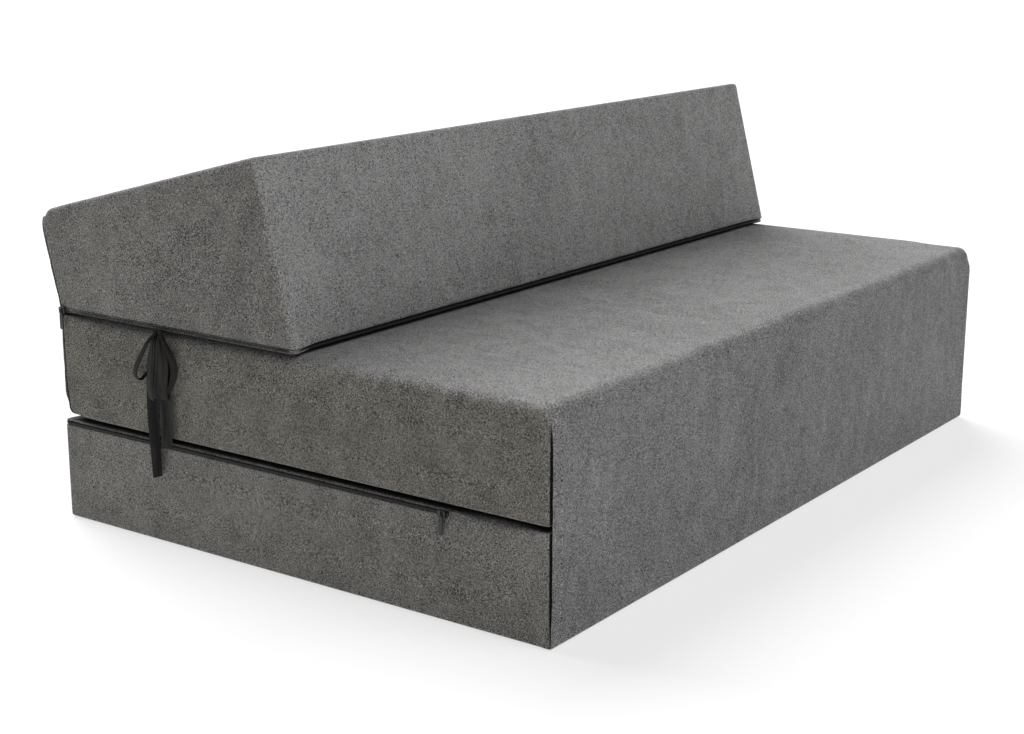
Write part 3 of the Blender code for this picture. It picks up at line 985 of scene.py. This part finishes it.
def make_tape(name, material):
    """The zip's woven tape behind its teeth, stitched along both lips."""
    look = bpy.context.scene.futon_zips
    places, z = zip_places(name, look.tape_out, 0.004)
    tall = look.tall
    facing = look.facing if name == "backrest" else 0.0

    def place(across, along):
        spot, _, way = places[round(along * (len(places) - 1))]
        above = max(0.0, 2 * across - 1) * max(0.0, -way.y)
        height = z + (across - 0.5) * tall + above * facing
        bulge = 0.0006 * (1.0 - (2 * across - 1) ** 2) + above * min(facing, 0.0024)
        return Vector((spot.x + way.x * bulge, spot.y + way.y * bulge, height))

    bm = cloth_grid(4, len(places) - 1, place)
    bm.normal_update()
    if sum(f.normal.dot(f.calc_center_median() - MIDDLE_OF_ZIPS) for f in bm.faces) < 0:
        bmesh.ops.reverse_faces(bm, faces=bm.faces)
    bmesh.ops.solidify(bm, geom=bm.faces[:], thickness=0.0008)
    bmesh.ops.recalc_face_normals(bm, faces=bm.faces)
    piece = new_piece(f"{name}_zip_band", bm, material)
    piece.data.set_sharp_from_angle(angle=math.radians(50))
    return finished(piece, name, (f"{name}_zip_tape",))


def make_metal(part, body, offset, material):
    """A slider, pull or stop: the frame's shape, merged, with its edges broken."""
    bm = bmesh.new()
    bm.from_mesh(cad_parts[part].data)
    bmesh.ops.remove_doubles(bm, verts=bm.verts, dist=1e-6)
    bmesh.ops.dissolve_limit(
        bm, angle_limit=math.radians(3), verts=bm.verts, edges=bm.edges, delimit=set()
    )
    sharp = [e for e in bm.edges if len(e.link_faces) == 2 and e.calc_face_angle(0) > 0.6]
    bevel = {"affect": "EDGES", "profile": 0.5, "material": -1, "segments": 2}
    bmesh.ops.bevel(bm, geom=sharp, offset=offset, clamp_overlap=True, **bevel)
    bmesh.ops.recalc_face_normals(bm, faces=bm.faces)
    piece = new_piece(f"{part}_cast", bm, material)
    piece.data.set_sharp_from_angle(angle=math.radians(35))
    return finished(piece, body, (part,))


# ---------------------------------------------------------------- ties


def curve_through(points, share):
    """A point at a share of the way along a smooth line through chosen points."""
    where = share * (len(points) - 1)
    k = min(int(where), len(points) - 2)
    t = where - k
    p0, p1 = points[max(k - 1, 0)], points[k]
    p2, p3 = points[k + 1], points[min(k + 2, len(points) - 1)]
    return 0.5 * (
        2 * p1
        + (p2 - p0) * t
        + (2 * p0 - 5 * p1 + 4 * p2 - p3) * t * t
        + (3 * p1 - p0 - 3 * p2 + p3) * t * t * t
    )


def ribbon(name, side, line, width, facing, bow, slant, pleat, material):
    """A satin strip along a line of (out, along, up) points from the knot at one side."""
    look = bpy.context.scene.futon_ties
    points = [Vector(p) for p in line]
    rows = 8 * (len(points) - 1)
    marks = [curve_through(points, i / rows) for i in range(rows + 1)]
    length = sum((b - a).length for a, b in zip(marks, marks[1:]))

    def place(across, along):
        i = round(along * rows)
        ahead = (marks[min(i + 1, rows)] - marks[max(i - 1, 0)]).normalized()
        direction = Vector(facing(along)).normalized()
        normal = ahead.cross(direction).normalized()
        t = 2 * across - 1
        wide = width(along)
        gather = 1.0 - smoothstep(0.0, 0.3, min(along, 1 - along) if pleat < 0 else along)
        lift = bow * (1 - t * t) * (1 - gather) + abs(pleat) * gather * math.cos(t * 9.0)
        spot = marks[i] + direction * (wide * t / 2) + normal * lift
        spot.z += slant * t * smoothstep(0.86, 1.0, along)
        hung = smoothstep(TIE_TOP - 0.025, TIE_TOP - 0.080, spot.z)
        drawn = look.lean + (look.shift - look.lean) * hung
        return Vector((side * (HALF + spot.x), TIE_MIDDLE + spot.y - drawn, spot.z))

    bm = cloth_grid(10, rows, place)
    layer = bm.loops.layers.uv["weave"]
    for face in bm.faces:
        for loop in face.loops:
            u, v = loop[layer].uv
            loop[layer].uv = (u * look.width, v * length)
    thickened(bm, look.thick)
    piece = new_piece(name, bm, material)
    smoother(piece)
    finished(piece, "seat")
    return piece, length


def make_bow(label, side, material):
    """A tied bow: two broad hanging loops, two loops seen edge-on, two tails and the knot."""
    look = bpy.context.scene.futon_ties
    wide = look.width
    foot = {maker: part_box(f"{maker}_tie_{label}")[0].z for maker in ("seat", "backrest")}
    fold = TIE_TOP - 0.0886

    def gathered(full, tight, reach):
        def width(along):
            open_share = smoothstep(0.0, reach, min(along, 1 - along))
            return full * (tight + (1 - tight) * open_share)

        return width

    def tailing(full, tip):
        def width(along):
            grown = 0.26 + 0.74 * smoothstep(0.0, 0.34, along)
            return full * grown * (1 - (1 - tip) * smoothstep(0.6, 1.0, along))

        return width

    def facing(x, y=1.0, twist=0.0):
        return lambda along: (x + twist * math.sin(along * math.pi), y, 0.0)

    # Each strip: name, width, the way it faces, bow, slant, pleat, ties it stands for, its line.
    strips = (
        (
            "seat_loop", gathered(wide, 0.26, 0.24), facing(0.02, 1.0, 0.22), 0.0018, 0.0,
            -0.0006,
            ("seat_tie_{0}",),
            [
                (0.0085, -0.0045, 0.2900), (0.0135, -0.0062, 0.2780), (0.0160, -0.0112, 0.2500),
                (0.0165, -0.0118, 0.2240), (0.0145, -0.0098, fold + 0.0060),
                (0.0125, -0.0098, fold + 0.0030),
                (0.0105, -0.0098, fold + 0.0060), (0.0092, -0.0090, 0.2300),
                (0.0085, -0.0060, 0.2650),
                (0.0070, -0.0035, 0.2860),
            ],
        ),
        (
            "backrest_loop", gathered(wide * 0.95, 0.26, 0.24), facing(-0.10, 1.0, -0.25),
            0.0016, 0.0, -0.0006,
            ("backrest_tie_{0}",),
            [
                (0.0085, 0.0045, 0.2895), (0.0132, 0.0062, 0.2770), (0.0140, 0.0100, 0.2480),
                (0.0140, 0.0105, 0.2240), (0.0125, 0.0100, fold + 0.0030), (0.0110, 0.0100, fold),
                (0.0095, 0.0100, fold + 0.0040), (0.0088, 0.0100, 0.2340),
                (0.0082, 0.0070, 0.2650),
                (0.0070, 0.0035, 0.2860),
            ],
        ),
        (
            "seat_curl", gathered(0.0140, 0.50, 0.40), facing(1.0, -0.10), 0.0006, 0.0, 0.0,
            (),
            [
                (0.0110, -0.0060, 0.2860), (0.0120, -0.0180, 0.2690), (0.0125, -0.0275, 0.2530),
                (0.0125, -0.0305, 0.2400), (0.0122, -0.0280, 0.2250), (0.0118, -0.0220, 0.2130),
                (0.0115, -0.0165, 0.2080),
            ],
        ),
        (
            "backrest_curl", gathered(0.0130, 0.60, 0.35), facing(-0.30, 0.95), 0.0004, 0.0, 0.0,
            (),
            [
                (0.0115, 0.0050, 0.2865), (0.0120, 0.0180, 0.2740), (0.0122, 0.0320, 0.2530),
                (0.0122, 0.0395, 0.2360), (0.0120, 0.0400, 0.2270), (0.0118, 0.0360, 0.2215),
                (0.0112, 0.0280, 0.2230), (0.0105, 0.0200, 0.2330),
            ],
        ),
        (
            "seat_tail", tailing(wide, 0.92), facing(0.04), 0.0008, 0.0012, 0.0005,
            (),
            [
                (0.0074, -0.0030, 0.2850), (0.0080, -0.0080, 0.2600), (0.0084, -0.0104, 0.2200),
                (0.0086, -0.0116, 0.1780), (0.0086, -0.0106, foot["seat"] + 0.002),
            ],
        ),
        (
            "backrest_tail", tailing(wide, 0.80), facing(0.06), 0.0009, 0.0028, 0.0005,
            (),
            [
                (0.0076, 0.0030, 0.2850), (0.0082, 0.0085, 0.2600), (0.0086, 0.0105, 0.2200),
                (0.0088, 0.0118, 0.1780), (0.0088, 0.0106, 0.1340),
                (0.0086, 0.0090, foot["backrest"] + 0.003),
            ],
        ),
    )
    knot = f"bow_knot_{label}"
    for name, width, way, bow, slant, pleat, stands, line in strips:
        piece, length = ribbon(
            f"{name}_{label}", side, line, width, way, bow, slant * side, pleat, material
        )
        middle = sum(width(i / 20) for i in range(21)) / 21
        if stands:
            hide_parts(*[node.format(label) for node in stands])
    bm = bmesh.new()
    bmesh.ops.create_uvsphere(bm, u_segments=32, v_segments=16, radius=1.0)
    for vert in bm.verts:
        angle = math.atan2(vert.co.y, vert.co.x)
        fluted = 1.0 + 0.10 * math.cos(angle * 9.0) * (1 - vert.co.z**2)
        cone = 1.0 - 0.25 * max(0.0, vert.co.z)
        vert.co = (
            side * (HALF + KNOT_OUT + vert.co.x * fluted * cone * KNOT_SIZE[0]),
            TIE_MIDDLE - look.lean + vert.co.y * fluted * cone * KNOT_SIZE[1],
            TIE_TOP - KNOT_BELOW + vert.co.z * KNOT_SIZE[2],
        )
    bmesh.ops.recalc_face_normals(bm, faces=bm.faces)
    layer = bm.loops.layers.uv.new("weave")
    for face in bm.faces:
        for loop in face.loops:
            loop[layer].uv = (loop.vert.co.y, loop.vert.co.z)
    piece = new_piece(knot, bm, material)
    finished(piece, "seat", (f"tie_knot_{label}",))


# ---------------------------------------------------------------- settings, operators, panel


def amount(name, description, default):
    return bpy.props.FloatProperty(name=name, description=description, default=default)


def span(name, description, default):
    return bpy.props.FloatProperty(
        name=name, description=description, default=default, unit="LENGTH"
    )


def tint(name, description, default):
    return bpy.props.FloatVectorProperty(
        name=name, description=description, default=default, subtype="COLOR", size=3
    )


class CushionSettings(bpy.types.PropertyGroup):
    edge: span("Edge", "Rounding of a cushion's edges", 0.018)
    tight_edge: span("Tight edge", "Rounding behind the panels and under the seat", 0.0032)
    zip_edge: span("Zip edge", "Rounding along a zip", 0.0075)
    open_edge: span("Open edge", "Rounding of the base's top in front of its zip", 0.016)
    foot_edge: span("Foot edge", "Rounding along the floor", 0.003)
    rear_edge: span("Rear edge", "Rounding of the rear corners", 0.0032)
    rear_swell: span("Rear swell", "How far the base's rear stands out under load", 0.0045)
    rear_foot: span("Rear foot", "Rounding of the seat's rear lower edge", 0.0135)
    ridge: span("Ridge", "Rounding of the wedge's ridge and top ends", 0.007)
    far_edge: span(
        "Far edge", "Rounding of the wedge's front ends and the seat's right end", 0.008
    )
    toe_edge: span("Toe edge", "Rounding under the wedge's front, over the seat", 0.015)
    rear_top: span("Rear top", "Rounding of the wedge's rear top edge", 0.022)
    edge_rows: bpy.props.IntProperty(
        name="Edge rows", description="Rows of faces in each rounding", default=4
    )
    cell: span("Cell", "Size of the mesh's cells", 0.024)
    ease: span("Ease", "Room left for the cover to swell", 0.0008)
    end_ease: span("End ease", "Room left at both ends", 0.001)
    swell: span("Swell", "Most that the cover swells", 0.003)
    groove: span("Groove", "Depth of the groove for a zip", 0.0026)
    hollow: span("Hollow", "Depth of the hollow behind a panel's side edge", 0.0020)
    rear_hollow: span("Rear hollow", "The same behind the rear panel", 0.0022)
    wedge_deep: span("Wedge depth", "Depth of the wedge across its top", 0.41)
    wedge_rear: span("Wedge rear", "Height of the wedge at its rear", 0.14)


class ClothSettings(bpy.types.PropertyGroup):
    colour: tint("Colour", "Velour", (0.200, 0.198, 0.196))
    grain: amount("Grain", "Contrast of the pile", 13.0)
    grain_scale: amount("Grain scale", "Fineness of the pile", 1150.0)
    patches: amount("Patches", "Contrast of the swept patches", 1.2)
    sheen: amount("Sheen", "Soft sheen of the pile", 0.12)


class PanelSettings(bpy.types.PropertyGroup):
    thick: span("Thickness", "Thickness of the cloth", 0.0014)
    side_gap: span("Side gap", "Cloth's edge short of the side", 0.0020)
    tuck: span("Tuck", "Cloth tucked round the edge", 0.045)
    row: span("Row", "Spacing of the cloth's rows", 0.004)
    fold: span("Fold", "Height of the bend at a hinge", 0.008)


class ZipSettings(bpy.types.PropertyGroup):
    tall: span("Tape height", "Height of the tape that shows", 0.0046)
    teeth_out: span("Teeth out", "How far the teeth stand out of the cushion", -0.0002)
    tape_out: span("Tape out", "How far the tape stands out of the cushion", -0.0014)
    facing: span("Facing", "Height of the sewn strip over the zip on the wedge's front", 0.0034)
    pitch: span("Pitch", "Distance from tooth to tooth on one side", 0.0026)
    tape: tint("Tape", "Tape colour", (0.009, 0.009, 0.0092))
    teeth: tint("Teeth", "Teeth colour", (0.024, 0.0236, 0.0225))
    metal: tint("Metal", "Slider colour", (0.013, 0.013, 0.0125))


class TieSettings(bpy.types.PropertyGroup):
    width: span("Width", "Ribbon width", 0.0212)
    thick: span("Thickness", "Ribbon thickness", 0.0004)
    lean: span("Lean", "How far the bow's top leans to the front", 0.0095)
    shift: span("Shift", "How far the bow hangs to the front", 0.0035)
    gloss: amount("Gloss", "Satin gloss", 0.07)
    # Colour of the painted sheen on the ribbons.
    lit: tint("Lit", "Ribbon where its floats shine", (0.040, 0.038, 0.034))
    colour: tint("Colour", "Ribbon colour", (0.005, 0.0048, 0.0046))


class StageSettings(bpy.types.PropertyGroup):
    floor: tint("Floor", "Floor colour", (0.36, 0.36, 0.36))
    glow: amount("Glow", "Light the floor gives by itself", 0.62)
    key: amount("Key", "Soft light from behind and above", 4.4)
    fill: amount("Fill", "Soft light from the front", 1.4)
    sky: amount("Sky", "Even light from all round", 0.12)
    lens: amount("Lens", "Focal length in mm", 63.0)


class FUTON_OT_cushions(bpy.types.Operator):
    """Builds the three foam cushions in their velour covers"""

    bl_idname = "futon.cushions"
    bl_label = "Cushions"

    def execute(self, context):
        colour = context.scene.futon_cloth.colour
        # Painted shade: side and front scale each face's colour by the way it faces, warmth tints
        # faces to the sides, and the listed faces are painted almost black.
        shaded_faces = (TOP_PAINTED_SHADE, FRONT_PAINTED_SHADE)
        make_base(velour("velour_base", colour, side=0.87, painted_warmth=0.06, shaded_faces=shaded_faces))
        shaded_faces = (UNDER_PAINTED_SHADE, FRONT_PAINTED_SHADE)
        make_seat(velour("velour_seat", colour, side=0.72, painted_warmth=0.11, shaded_faces=shaded_faces))
        painted_tones = {"front": 1.46, "side": 0.85, "painted_warmth": 0.05, "shaded_faces": (WEDGE_PAINTED_SHADE,)}
        make_backrest(velour("velour_backrest", colour, **painted_tones))
        return {"FINISHED"}


class FUTON_OT_panels(bpy.types.Operator):
    """Builds the cloth panels over the front and the rear"""

    bl_idname = "futon.panels"
    bl_label = "Panels"

    def execute(self, context):
        colour = context.scene.futon_cloth.colour
        # Painted shade: front darkens the front panel's front face.
        make_front_panel(velour("velour_front", colour, "rest_place", front=0.77))
        make_rear_panel(velour("velour_rear", colour, "rest_place"))
        return {"FINISHED"}


class FUTON_OT_zips(bpy.types.Operator):
    """Builds the zips: tapes, teeth, sliders, pulls and stops"""

    bl_idname = "futon.zips"
    bl_label = "Zips"

    def execute(self, context):
        look = context.scene.futon_zips
        woven = tape_cloth("zip_tape", look.tape)
        coil = nylon("zip_teeth", look.teeth)
        metal = lacquer("zip_metal", look.metal)
        for name in ("base", "seat", "backrest"):
            make_teeth(name, coil)
            make_tape(name, woven)
            stops = [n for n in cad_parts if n.startswith(name) and n.endswith("stop")]
            for stop in sorted(stops):
                make_metal(stop, name, 0.0004, metal)
            for part, offset in ((f"{name}_zip_slider", 0.0006), (f"{name}_zip_pull", 0.00025)):
                make_metal(part, part, offset, metal)
        return {"FINISHED"}


class FUTON_OT_ties(bpy.types.Operator):
    """Builds a tied satin bow on each side"""

    bl_idname = "futon.ties"
    bl_label = "Ties"

    def execute(self, context):
        cloth = satin("satin", context.scene.futon_ties.colour)
        for label, side in (("left", -1), ("right", 1)):
            make_bow(label, side, cloth)
        return {"FINISHED"}


class FUTON_OT_stage(bpy.types.Operator):
    """Sets the floor, the soft studio light and the camera"""

    bl_idname = "futon.stage"
    bl_label = "Stage"

    def execute(self, context):
        look = context.scene.futon_stage
        scene = context.scene
        paper = Finish("floor_paper", roughness=0.9, emission_strength=look.glow)
        paper.shader.inputs["Emission Color"].default_value = (1.0, 1.0, 1.0, 1.0)
        place = paper.places()
        paper.colour(
            paper.mixed(paper.grain(place, 3.0), shade(look.floor, 0.995), shade(look.floor, 1.005))
        )
        bm = bmesh.new()
        bmesh.ops.create_circle(bm, cap_ends=True, segments=96, radius=60.0)
        floor = new_piece("floor", bm, paper.material, smooth=False)
        floor.data.transform(Matrix.Translation((0, 0, -0.0005)))
        scene.view_settings.view_transform = "Standard"
        world = bpy.data.worlds.new("studio")
        scene.world = world
        world.use_nodes = True
        tree = world.node_tree
        light = tree.nodes["Background"]
        seen = tree.nodes.new("ShaderNodeLightPath")
        grade = tree.nodes.new("ShaderNodeMapRange")
        tree.links.new(seen.outputs["Is Camera Ray"], grade.inputs["Value"])
        grade.inputs["To Min"].default_value = look.sky
        grade.inputs["To Max"].default_value = 1.0
        tree.links.new(grade.outputs[0], light.inputs["Strength"])
        light.inputs["Color"].default_value = (1.0, 1.0, 1.0, 1.0)
        for name, turn, height, wide in SUNS:
            soft = bpy.data.lights.new(name, "SUN")
            soft.energy = getattr(look, name)
            soft.angle = math.radians(wide)
            lamp = bpy.data.objects.new(name, soft)
            scene.collection.objects.link(lamp)
            around, up = math.radians(turn), math.radians(height)
            flat = math.cos(up)
            source = Vector((math.cos(around) * flat, math.sin(around) * flat, math.sin(up)))
            lamp.rotation_euler = source.to_track_quat("Z", "Y").to_euler()
        camera = bpy.data.cameras.new("camera")
        camera.lens = look.lens
        camera.sensor_width = 36.0
        viewer = bpy.data.objects.new("camera", camera)
        scene.collection.objects.link(viewer)
        viewer.matrix_world = (
            Matrix.Translation(VIEW_PLACE)
            @ Matrix.Rotation(math.radians(VIEW_TURN), 4, "Z")
            @ Matrix.Rotation(math.radians(90 - VIEW_DIP), 4, "X")
            @ Matrix.Rotation(math.radians(VIEW_ROLL), 4, "Z")
        )
        scene.camera = viewer
        return {"FINISHED"}


class FUTON_PT_panel(bpy.types.Panel):
    """Lists the futon's pieces"""

    bl_label = "Futon sofa bed"
    bl_idname = "FUTON_PT_panel"
    bl_space_type = "VIEW_3D"
    bl_region_type = "UI"
    bl_category = "Futon"

    def draw(self, context):
        for name, _, operator in GROUPS:
            box = self.layout.box()
            box.operator(operator)
            for key in getattr(context.scene, name).__annotations__:
                box.prop(getattr(context.scene, name), key)


GROUPS = (
    ("futon_cushions", CushionSettings, "futon.cushions"),
    ("futon_cloth", ClothSettings, "futon.cushions"),
    ("futon_panels", PanelSettings, "futon.panels"),
    ("futon_zips", ZipSettings, "futon.zips"),
    ("futon_ties", TieSettings, "futon.ties"),
    ("futon_stage", StageSettings, "futon.stage"),
)
OPERATORS = (FUTON_OT_cushions, FUTON_OT_panels, FUTON_OT_zips, FUTON_OT_ties, FUTON_OT_stage)


def register():
    for name, settings, _ in GROUPS:
        bpy.utils.register_class(settings)
        setattr(bpy.types.Scene, name, bpy.props.PointerProperty(type=settings))
    for operator in OPERATORS:
        bpy.utils.register_class(operator)
    bpy.utils.register_class(FUTON_PT_panel)


def unregister():
    bpy.utils.unregister_class(FUTON_PT_panel)
    for operator in reversed(OPERATORS):
        bpy.utils.unregister_class(operator)
    for name, settings, _ in reversed(GROUPS):
        delattr(bpy.types.Scene, name)
        bpy.utils.unregister_class(settings)


def main():
    register()
    bpy.ops.futon.cushions()
    bpy.ops.futon.panels()
    bpy.ops.futon.zips()
    bpy.ops.futon.ties()
    bpy.ops.futon.stage()


if __name__ == "__main__":
    main()
